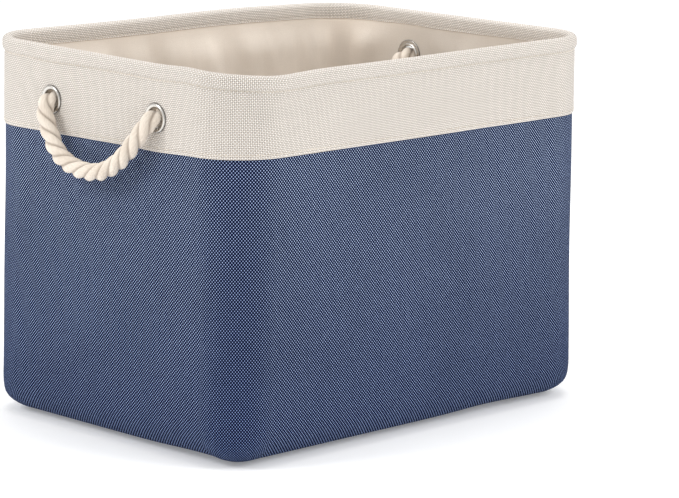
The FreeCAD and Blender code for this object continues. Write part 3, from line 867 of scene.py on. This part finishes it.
# Painted shade: the last value of each panel darkens its colour, about as deep as the walls low down.
bottom_panels = [
    ("blue_bottom", "outer_base", "blue_cloth", SHELL_SEAM, 0.0, SHELL_CLOTH, BLUE, False, 0.6),
    ("lining_bottom", "lining_base", "lining_cloth", LINING_SEAM, LINING_BOTTOM + LINING_CLOTH, LINING_CLOTH,
     LINING, True, 0.8),
]
for name, node, finish, inset, z, thickness, material, up, tone in bottom_panels:
    panel = flat_panel(name, inset, z, thickness, material, tone, up)
    settle(panel, node)


# %% Seam tape
def seam_tape():
    g = Graph("seam_tape", Roughness=0.9)
    colour, height = plain_weave(g, 0.0009, rgb(222, 214, 202), rgb(214, 205, 192), rgb(212, 203, 190),
                                 rgb(165, 154, 140), 0.2, 0.05)
    return g.finish(colour, height, 0.0002)


TAPE_WIDTH, TAPE_THICKNESS = 0.012, 0.0006
tape_outer = SHELL_SEAM - TAPE_WIDTH / 2
tape_profile = np.array([(tape_outer + TAPE_WIDTH * s, SHELL_CLOTH + TAPE_THICKNESS)
                         for s in np.linspace(0, 1, 5)])
tape = layer("bottom_tape", tape_profile, seam_tape(), TAPE_THICKNESS)
settle(tape, "base_seam_tape")

# %% [markdown]
# ## The hidden boards
# Four thin grey boards stand between wall and lining, one for each side, and stop at the round corners.
# They follow the wall's form, so the wall lies on them.

# %% Stiffening boards
BOARD_FACE, BOARD_THICKNESS = 0.0040, 0.0016
BOARD_LOW, BOARD_HIGH = 0.031, 0.2853


def grey_board():
    g = Graph("grey_board", Roughness=0.93)
    fibres = g.noise(g.place(), 420, 4.0)
    clouds = g.noise(g.place(), 18, 3.0)
    colour = g.mix(g.clamp(fibres, 0.35, 0.65), rgb(150, 143, 132), rgb(186, 178, 166))
    colour = g.mix(g.clamp(clouds, 0.35, 0.65, 0.0, 0.3), colour, rgb(128, 120, 108))
    return g.finish(colour, fibres, 0.00008)


def side_board(name, segment, material):
    """A board as wide as one flat side, with its hole edges where the eyelets pass."""
    keep = np.where(SEGMENT == segment)[0][1:]
    heights = np.linspace(BOARD_HIGH, BOARD_LOW, 58)
    points = form(np.full(len(heights), BOARD_FACE), heights)[:, keep]
    return sweep(name, points, BOARD_HIGH - heights, material, BOARD_THICKNESS, closed=False,
                 columns=AROUND[keep[0]:], holes=True)


GREY = grey_board()
for side, segment in (("left", 1), ("front", 3), ("right", 5), ("back", 7)):
    board = side_board("side_board_" + side, segment, GREY)
    settle(board, "stiffener_" + side)
    print("side board", side, len(board.data.polygons))

# %% [markdown]
# ## The wire hoop in the hem
# A spring-steel wire runs round inside the hem and holds the mouth open. Its two ends meet in a crimped
# sleeve at the middle of the back.

# %% Wire hoop and sleeve
WIRE_INSET, WIRE_Z, WIRE_RADIUS = 0.0040, 0.2956, 0.0020
WIRE_GAP, SLEEVE_RADIUS = 0.0020, 0.00275


def bare_metal(name, colour, roughness, grain, painted_shade=False):
    """Metal with fine scratches. Its last flag darkens it by the piece's own tone, which is painted shade."""
    g = Graph(name, Metallic=1.0)
    fine = g.noise(g.place(), grain, 4.0)
    dull = tuple(c * 0.86 for c in colour[:3]) + (1,)
    tone = g.mix(g.clamp(g.noise(g.place(), 70, 2.0), 0.3, 0.7), colour, dull)
    # Painted shade from the piece's tone.
    if painted_shade:
        tone = with_painted_light(g, tone)
    rough = g.clamp(fine, 0.3, 0.7, roughness * 0.75, roughness * 1.35)
    return g.finish(tone, fine, 0.00002, 0.5, rough)


def tube(name, line, radii, material, sides=16):
    """A round bar along a line, closed at both ends. radii is one radius for each point."""
    along_sides, along_ups = carried_frames(line)
    angle = np.linspace(0, 2 * math.pi, sides, endpoint=False)
    rings = (line[:, None, :] + radii[:, None, None] * (np.cos(angle)[None, :, None] * along_sides[:, None, :]
             + np.sin(angle)[None, :, None] * along_ups[:, None, :]))
    verts = list(rings.reshape(-1, 3)) + [line[0], line[-1]]
    faces = [(i + k, i + (k + 1) % sides, i + sides + (k + 1) % sides, i + sides + k)
             for i in range(0, (len(line) - 1) * sides, sides) for k in range(sides)]
    last = (len(line) - 1) * sides
    faces += [((k + 1) % sides, k, len(verts) - 2) for k in range(sides)]
    faces += [(last + k, last + (k + 1) % sides, len(verts) - 1) for k in range(sides)]
    return new_object(name, verts, faces, material)


ring = form(np.array([WIRE_INSET]), np.array([WIRE_Z]))[0]
behind = [i for i in range(len(ring)) if SEGMENT[i] == 7]
middle = behind[int(np.argmin(np.abs(ring[behind, 0])))]
hoop = np.roll(ring, -middle, axis=0)
hoop[0, 0] = -WIRE_GAP / 2
hoop = np.concatenate([hoop, [[WIRE_GAP / 2, hoop[0, 1], hoop[0, 2]]]])
hoop = hoop[np.concatenate([[True], np.linalg.norm(np.diff(hoop, axis=0), axis=1) > 1e-4])]
steel = bare_metal("spring_steel", rgb(168, 168, 166), 0.4, 900)
wire = tube("hem_wire", hoop, np.full(len(hoop), WIRE_RADIUS), steel, 12)
settle(wire, "rim_wire")
spots = np.array([-13, -12.6, -6, -5, -4.6, -4, 0, 4, 4.6, 5, 6, 12.6, 13]) / 1000
pinch = np.array([0.92, 1, 1, 0.9, 0.86, 0.92, 1, 0.92, 0.86, 0.9, 1, 1, 0.92]) * SLEEVE_RADIUS
sleeve_line = np.stack([spots, np.full(len(spots), hoop[0, 1]), np.full(len(spots), hoop[0, 2])], axis=1)
aluminium = bare_metal("soft_aluminium", rgb(196, 198, 200), 0.35, 700)
sleeve = tube("hem_sleeve", sleeve_line, pinch, aluminium, 20)
settle(sleeve, "wire_sleeve")
print("hoop length", round(along(hoop)[-1], 4))

# %% [markdown]
# ## The loose board on the bottom
# A grey board covered in lining cloth lies loose inside and lifts out. The cloth is pulled over its rim and
# glued down underneath in a margin, so the bare board shows in the middle of its underside.

# %% Covered board
BOARD_X, BOARD_Y, BOARD_R = 0.1718, 0.11845, 0.020
COVER_LOW, COVER_HIGH, COVER_CLOTH, COVER_RETURN = 0.0034, 0.0064, 0.00045, 0.016
# Painted shade: the cover's colour is a little darker, deep in the bin.
COVER_PAINTED_SHADE = 0.9


def board_ring(inward, z, steps=14):
    """The board's outline moved in, as a closed ring of points at height z."""
    radius = max(BOARD_R - inward, 0.001)
    cx, cy = BOARD_X - inward - radius, BOARD_Y - inward - radius
    points = []
    for sx, sy, start in ((1, 1, 0), (-1, 1, 90), (-1, -1, 180), (1, -1, 270)):
        for a in np.radians(np.linspace(start, start + 90, steps)):
            points.append((sx * cx + radius * math.cos(a), sy * cy + radius * math.sin(a), z))
    ring = np.array(points + [points[0]])
    run = along(ring)
    places = np.linspace(0, run[-1], 241)[:-1]
    return np.stack([np.interp(places, run, ring[:, k]) for k in range(3)], axis=1)


def covered_board():
    rim_r = (COVER_HIGH - COVER_LOW) / 2
    middle_z = (COVER_HIGH + COVER_LOW) / 2
    rings = [(COVER_RETURN, COVER_LOW), (COVER_RETURN / 2, COVER_LOW), (rim_r, COVER_LOW)]
    rings += [(rim_r - rim_r * math.sin(a), middle_z - rim_r * math.cos(a))
              for a in np.linspace(0, math.pi, 9)[1:-1]]
    rings += [(rim_r, COVER_HIGH), (0.006, COVER_HIGH), (0.012, COVER_HIGH)]
    loops = [board_ring(inward, z) for inward, z in rings]
    inner = loops[-1]
    loops += [inner * [s, s, 1] for s in np.linspace(1, 0, 13)[1:-1]]
    verts = np.concatenate(loops + [[[0, 0, COVER_HIGH]]])
    top = verts[:, 2] > COVER_HIGH - 1e-5
    soft = np.sin(verts[:, 0] * 23 + 0.7) * np.sin(verts[:, 1] * 29 + 0.4)
    verts[:, 2] += np.where(top, 0.00025 * (soft + 1) * smooth(BOARD_Y - np.abs(verts[:, 1]), 0.01, 0.05), 0)
    count = len(inner)
    faces = ring_faces(len(loops), count)
    obj = new_object("covered_board", verts, faces, LINING)
    set_painted_light(obj, np.full(len(verts), COVER_PAINTED_SHADE))
    steps = [abs(a[0] - b[0]) + abs(a[1] - b[1]) for a, b in zip(rings, rings[1:])]
    reach = np.concatenate([[0], np.cumsum(steps)])
    spread = np.concatenate([np.full(count, 0.0)[:, None] + reach[-1] - r for r in reach] +
                            [np.zeros((count, 1))] * (len(loops) - len(rings)) + [np.zeros((1, 1))])
    away = verts[:, :2] / np.maximum(np.linalg.norm(verts[:, :2], axis=1), 1e-6)[:, None]
    low = verts[:, 2] < middle_z
    uv = np.where(low[:, None], verts[:, :2] + away * spread * 0.5, verts[:, :2])
    set_map(obj, [uv[v] + [0.3, 0.3] for f in faces for v in f])
    give_thickness(obj, COVER_CLOTH)
    return obj


cover = covered_board()
settle(cover, "board_cover", "base_board")
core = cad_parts["base_board"]
core.data.materials.clear()
core.data.materials.append(GREY)

# %% [markdown]
# ## Eyelets and washers
# Each eyelet is a nickel-plated ring: a rounded flange outside, a barrel through the wall, and a rolled end
# clinched over a washer inside. Both are turned shapes, spun from their section.

# %% Eyelets and washers
BORE = 0.0078
BARREL = 0.0085
FLANGE = 0.0114
INNER_FACE = -0.0049
WASHER_BACK = INNER_FACE - 0.0009
SPIN_STEPS = 72


def turned_ring(name, profile, side, y, material):
    """Spins a closed section of (out, radius) round an eyelet's line."""
    section = np.array(profile)
    angle = np.linspace(0, 2 * math.pi, SPIN_STEPS, endpoint=False)
    x = np.broadcast_to(side * (HALF_X - BAND_FACE + section[:, 0])[:, None], (len(section), SPIN_STEPS))
    yy = y + section[:, 1][:, None] * np.cos(angle)[None, :]
    zz = EYELET_Z + section[:, 1][:, None] * np.sin(angle)[None, :]
    verts = np.stack([x, yy, zz], axis=2).reshape(-1, 3)
    count = len(section)
    faces = []
    for i in range(count):
        n = (i + 1) % count
        for k in range(SPIN_STEPS):
            m = (k + 1) % SPIN_STEPS
            faces.append((i * SPIN_STEPS + k, i * SPIN_STEPS + m, n * SPIN_STEPS + m, n * SPIN_STEPS + k))
    if side < 0:
        faces = [f[::-1] for f in faces]
    obj = new_object(name, verts, faces, material)
    set_painted_light(obj, np.repeat(ring_painted_shade(section), SPIN_STEPS))
    return obj


def ring_painted_shade(section):
    """Painted shade: the ring is full bright on the crown of the flange and on its face inside the bin, and
    darker at its edges and in its throat.
    """
    out = section[:, 0]
    crown = np.maximum(smooth(out, 0.0008, 0.0015), 0.75 * (section[:, 1] < 0.0079) * (out < 0.0004))
    flat = (out < -0.0052) * smooth(-section[:, 1], -0.0129, -0.0122)
    return 0.3 + 0.7 * np.maximum(crown, flat)


def eyelet_section():
    """Flange edge, crown, throat, barrel, clinched roll, and back along the outside of the barrel."""
    shape = [(0.0002, FLANGE - 0.0001), (0.0005, FLANGE + 0.0001), (0.0009, FLANGE - 0.0002)]
    middle, half, rise = 0.0098, 0.0016, 0.0018
    shape += [(rise * math.sin(a), middle + half * math.cos(a))
              for a in np.radians((35, 50, 65, 80, 95, 110, 125))]
    shape += [(0.0012, BORE + 0.0003), (0.0008, BORE + 0.00005), (0.0, BORE)]
    shape += [(-0.002, BORE), (-0.004, BORE), (WASHER_BACK, BORE + 0.0001)]
    roll = BARREL - 0.0001
    shape += [(WASHER_BACK - 0.0010 * math.sin(a), roll + 0.0007 - 0.0011 * math.cos(a)) for a in
              np.radians((40, 70, 100, 130, 160, 180))]
    shape += [(WASHER_BACK, BARREL), (-0.004, BARREL), (-0.0004, BARREL), (0.0, BARREL + 0.0004),
              (0.0002, BARREL + 0.002)]
    return shape


def washer_section():
    inner, outer = 0.0086, 0.0130
    return [(INNER_FACE, inner), (INNER_FACE, outer - 0.0004), (INNER_FACE - 0.00015, outer - 0.0001),
            (INNER_FACE - 0.00045, outer), (INNER_FACE - 0.00075, outer - 0.00012),
            (WASHER_BACK, outer - 0.0005),
            (WASHER_BACK, inner + 0.0008), (WASHER_BACK + 0.0001, inner)][::-1]


NICKEL = bare_metal("nickel", rgb(214, 210, 204), 0.24, 500, painted_shade=True)
for end_name, end_side in ENDS.items():
    for place, y in (("rear", EYELET_Y), ("front", -EYELET_Y)):
        spot = f"{end_name}_{place}"
        eyelet = turned_ring("eyelet_ring_" + spot, eyelet_section(), end_side, y, NICKEL)
        washer = turned_ring("washer_ring_" + spot, washer_section(), end_side, y, NICKEL)
        for made, node in ((eyelet, "eyelet_" + spot), (washer, "washer_" + spot)):
            settle(made, node)
print("eyelets", 4, "washers", 4)

# %% [markdown]
# ## Stitching
# Stitches repeat along a row, so Geometry Nodes set them: the row's line is divided into equal lengths, and
# one short arched thread, whose ends dip into the cloth, is laid at each place along the row.

# %% Stitch tree


def stitch_tree():
    """A tree with named sizes: stitch length, gap, thread radius, rise and seed."""
    tree = bpy.data.node_groups.new("stitch_row", "GeometryNodeTree")
    face = tree.interface
    face.new_socket("Geometry", in_out="INPUT", socket_type="NodeSocketGeometry")
    sizes = {"Stitch length": 0.0031, "Gap": 0.0009, "Thread radius": 0.00030, "Rise": 0.00045}
    for label, value in sizes.items():
        face.new_socket(label, in_out="INPUT", socket_type="NodeSocketFloat").default_value = value
    face.new_socket("Seed", in_out="INPUT", socket_type="NodeSocketInt").default_value = 3
    face.new_socket("Thread", in_out="INPUT", socket_type="NodeSocketMaterial")
    face.new_socket("Geometry", in_out="OUTPUT", socket_type="NodeSocketGeometry")

    def node(kind, inputs=(), **settings):
        made = tree.nodes.new(kind)
        for key, value in settings.items():
            setattr(made, key, value)
        for key, value in dict(inputs).items():
            if isinstance(value, bpy.types.NodeSocket):
                tree.links.new(value, made.inputs[key])
            else:
                made.inputs[key].default_value = value
        return made

    def math_node(operation, a, b):
        return node("ShaderNodeMath", {0: a, 1: b}, operation=operation).outputs[0]

    given = tree.nodes.new("NodeGroupInput").outputs
    line = node("GeometryNodeMeshToCurve", {"Mesh": given["Geometry"]}).outputs["Curve"]
    pitch = math_node("ADD", given["Stitch length"], given["Gap"])
    spaced = node("GeometryNodeResampleCurve", {"Curve": line, "Length": pitch},
                  mode="LENGTH").outputs["Curve"]
    half = math_node("MULTIPLY", given["Stitch length"], 0.5)
    dip = math_node("MULTIPLY", given["Thread radius"], -0.9)
    top = math_node("MULTIPLY", given["Rise"], 2.0)
    start = node("ShaderNodeCombineXYZ", {"X": math_node("MULTIPLY", half, -1.0), "Z": dip}).outputs[0]
    peak = node("ShaderNodeCombineXYZ", {"Z": top}).outputs[0]
    stop = node("ShaderNodeCombineXYZ", {"X": half, "Z": dip}).outputs[0]
    arch = node("GeometryNodeCurveQuadraticBezier",
                {"Resolution": 4, "Start": start, "Middle": peak, "End": stop}).outputs[0]
    round_thread = node("GeometryNodeCurvePrimitiveCircle",
                        {"Resolution": 6, "Radius": given["Thread radius"]})
    thread = node("GeometryNodeCurveToMesh", {"Curve": arch, "Profile Curve": round_thread.outputs[0],
                                              "Fill Caps": True}).outputs[0]
    outwards = node("GeometryNodeInputNamedAttribute", {"Name": "out"},
                    data_type="FLOAT_VECTOR").outputs[0]
    tangent = node("GeometryNodeInputTangent").outputs[0]
    turned = node("FunctionNodeAxesToRotation", {0: outwards, 1: tangent},
                  primary_axis="Z", secondary_axis="X")
    lean = node("FunctionNodeRandomValue", {"Min": (-0.03, -0.04, -0.09), "Max": (0.03, 0.04, 0.09),
                                            "Seed": given["Seed"]}, data_type="FLOAT_VECTOR").outputs[0]
    leaned = node("FunctionNodeEulerToRotation", {0: lean}).outputs[0]
    rotation = node("FunctionNodeRotateRotation", {0: turned.outputs[0], 1: leaned}, rotation_space="LOCAL")
    laid = node("GeometryNodeInstanceOnPoints", {"Points": spaced, "Instance": thread,
                                                 "Rotation": rotation.outputs[0]}).outputs[0]
    real = node("GeometryNodeRealizeInstances", {0: laid}).outputs[0]
    smooth_faces = node("GeometryNodeSetShadeSmooth", {0: real}).outputs[0]
    finished = node("GeometryNodeSetMaterial",
                    {"Geometry": smooth_faces, "Material": given["Thread"]}).outputs[0]
    out = tree.nodes.new("NodeGroupOutput")
    tree.links.new(finished, out.inputs[0])
    return tree


STITCHES = stitch_tree()
print("stitch tree inputs", [i.name for i in STITCHES.interface.items_tree if i.in_out == "INPUT"])


# %% Stitch rows
def thread(name, colour, shade):
    """Sewing thread, twisted from plies."""
    g = Graph(name, Roughness=0.6, Sheen_Weight=0.2)
    ply = g.node("ShaderNodeTexWave", {"Vector": g.place(), "Scale": 900.0, "Distortion": 1.5},
                 bands_direction="DIAGONAL").outputs["Fac"]
    return g.finish(g.mix(ply, shade, colour), ply, 0.00005)


CREAM_THREAD = thread("cream_thread", rgb(236, 228, 216), rgb(206, 194, 178))
BLUE_THREAD = thread("blue_thread", rgb(70, 84, 122), rgb(34, 44, 78))


def stitched(name, rows, material, node, seed):
    """One piece from rows given as (points, outward directions, whether it closes)."""
    verts, outs, edges = [], [], []
    for points, outward, closes in rows:
        first = len(verts)
        verts += [tuple(p) for p in points]
        outs += [tuple(o) for o in outward]
        edges += [(first + i, first + i + 1) for i in range(len(points) - 1)]
        edges += [(first + len(points) - 1, first)] * closes
    mesh = bpy.data.meshes.new(name)
    mesh.from_pydata(verts, edges, [])
    attribute = mesh.attributes.new("out", "FLOAT_VECTOR", "POINT")
    attribute.data.foreach_set("vector", np.array(outs, np.float32).ravel())
    obj = bpy.data.objects.new(name, mesh)
    bpy.context.scene.collection.objects.link(obj)
    modifier = obj.modifiers.new("stitches", "NODES")
    modifier.node_group = STITCHES
    sockets = {i.name: i.identifier for i in STITCHES.interface.items_tree if i.in_out == "INPUT"}
    modifier[sockets["Seed"]] = seed
    modifier[sockets["Thread"]] = material
    keep_modifiers(obj)
    settle(obj, node)
    print(name, len(obj.data.polygons))


def wall_row(inset, z, inwards=False):
    """A row round the band at that inset and height."""
    points = band_hang(form(np.array([inset]), np.array([z])))[0]
    _, _, nx, ny = outline([inset], [0.046])
    outward = np.stack([nx[0], ny[0], np.zeros(len(points))], axis=1)
    return points, -outward if inwards else outward, True


def floor_row(inset, z, up):
    points = form(np.array([inset]), np.array([z]))[0]
    points[:, 2] = z
    gaps = np.linalg.norm(points - np.roll(points, 1, axis=0), axis=1)
    points = points[gaps > 1e-5]
    return points, np.tile([0, 0, 1.0 if up else -1.0], (len(points), 1)), True


UPRIGHT_POINTS = 40


def upright_row(x, inset, low, high):
    """A row up the back wall beside its rear left corner."""
    heights = np.linspace(low, high, UPRIGHT_POINTS)
    back = form(np.full(UPRIGHT_POINTS, inset), heights)
    side = back[:, SEGMENT == 7]
    y = np.array([np.interp(-x, -row[:, 0], row[:, 1]) for row in side])
    points = np.stack([np.full(UPRIGHT_POINTS, x), y, heights], axis=1)
    return points, np.tile([0, 1.0, 0], (UPRIGHT_POINTS, 1)), False


HEM_ROW_Z, BAND_ROW_Z = 0.2880, BAND_BOTTOM + 0.0032
BOTTOM_ROWS_ASIDE = 0.0038
SEAM_ROWS_X = (-0.1532, -0.1482)
stitched("hem_stitches", [wall_row(0.00215, HEM_ROW_Z), wall_row(0.00725, HEM_ROW_Z, True)],
         CREAM_THREAD, "hem_stitching", 1)
stitched("band_stitches", [wall_row(0.00195, BAND_ROW_Z)], CREAM_THREAD, "band_stitching", 2)
stitched("bottom_stitches", [floor_row(SHELL_SEAM + aside, 0.0016, True)
                             for aside in (-BOTTOM_ROWS_ASIDE, BOTTOM_ROWS_ASIDE)],
         BLUE_THREAD, "base_stitching", 3)
stitched("lining_stitches", [floor_row(LINING_SEAM - 0.0032, 0.0022, False)], CREAM_THREAD,
         "lining_stitching", 4)
stitched("wall_seam_stitches", [upright_row(x, SHELL_FACE, 0.034, 0.2285) for x in SEAM_ROWS_X],
         BLUE_THREAD, "wall_seam_stitching", 5)
stitched("band_seam_stitches", [upright_row(x, BAND_FACE, 0.2417, 0.2830) for x in SEAM_ROWS_X],
         CREAM_THREAD, "band_seam_stitching", 6)

# %% [markdown]
# ## Floor and light
# A plain white floor under soft light from both sides leaves only a faint shadow where the bin stands, and
# turns the two shown sides a little brighter than the corner between them, together with the painted shade
# at the blue cloth's corners.

# %% Floor, lights and surroundings
FLOOR_REACH, FLOOR_DROP = 30.0, 0.0004
FLOOR_GLOW = 0.2
WORLD_STRENGTH = 0.85
LIGHTS_AIM = Vector((0, 0, 0.15))


def set_stage():
    g = Graph("white_floor", Roughness=0.9)
    speckle = g.noise(g.place(), 40, 2.0)
    white = g.mix(speckle, (0.9, 0.9, 0.9, 1), (0.93, 0.93, 0.93, 1))
    corners = [(x * FLOOR_REACH, y * FLOOR_REACH, -FLOOR_DROP)
               for x, y in ((-1, -1), (1, -1), (1, 1), (-1, 1))]
    g.shader.inputs["Emission Color"].default_value = (1, 1, 1, 1)
    g.shader.inputs["Emission Strength"].default_value = FLOOR_GLOW
    floor = new_object("floor", corners, [(0, 1, 2, 3)], g.finish(white))
    world = bpy.data.worlds.new("soft_white")
    world.use_nodes = True
    world.node_tree.nodes["Background"].inputs[0].default_value = (1, 1, 1, 1)
    world.node_tree.nodes["Background"].inputs[1].default_value = WORLD_STRENGTH
    bpy.context.scene.world = world


def soft_light(name, place, size, watts):
    """A square soft box at that place, turned to the middle of the bin."""
    data = bpy.data.lights.new(name, "AREA")
    data.size = size
    data.energy = watts
    lamp = bpy.data.objects.new(name, data)
    lamp.location = place
    lamp.rotation_euler = (LIGHTS_AIM - Vector(place)).to_track_quat("-Z", "Y").to_euler()
    bpy.context.scene.collection.objects.link(lamp)


set_stage()
soft_light("left_box", (-2.2, 0.9, 1.8), 1.0, 27)
soft_light("right_box", (0.9, -2.2, 1.8), 1.2, 24)
soft_light("top_box", (0.2, 0.1, 2.4), 1.4, 17)
bpy.context.scene.view_settings.view_transform = "Standard"
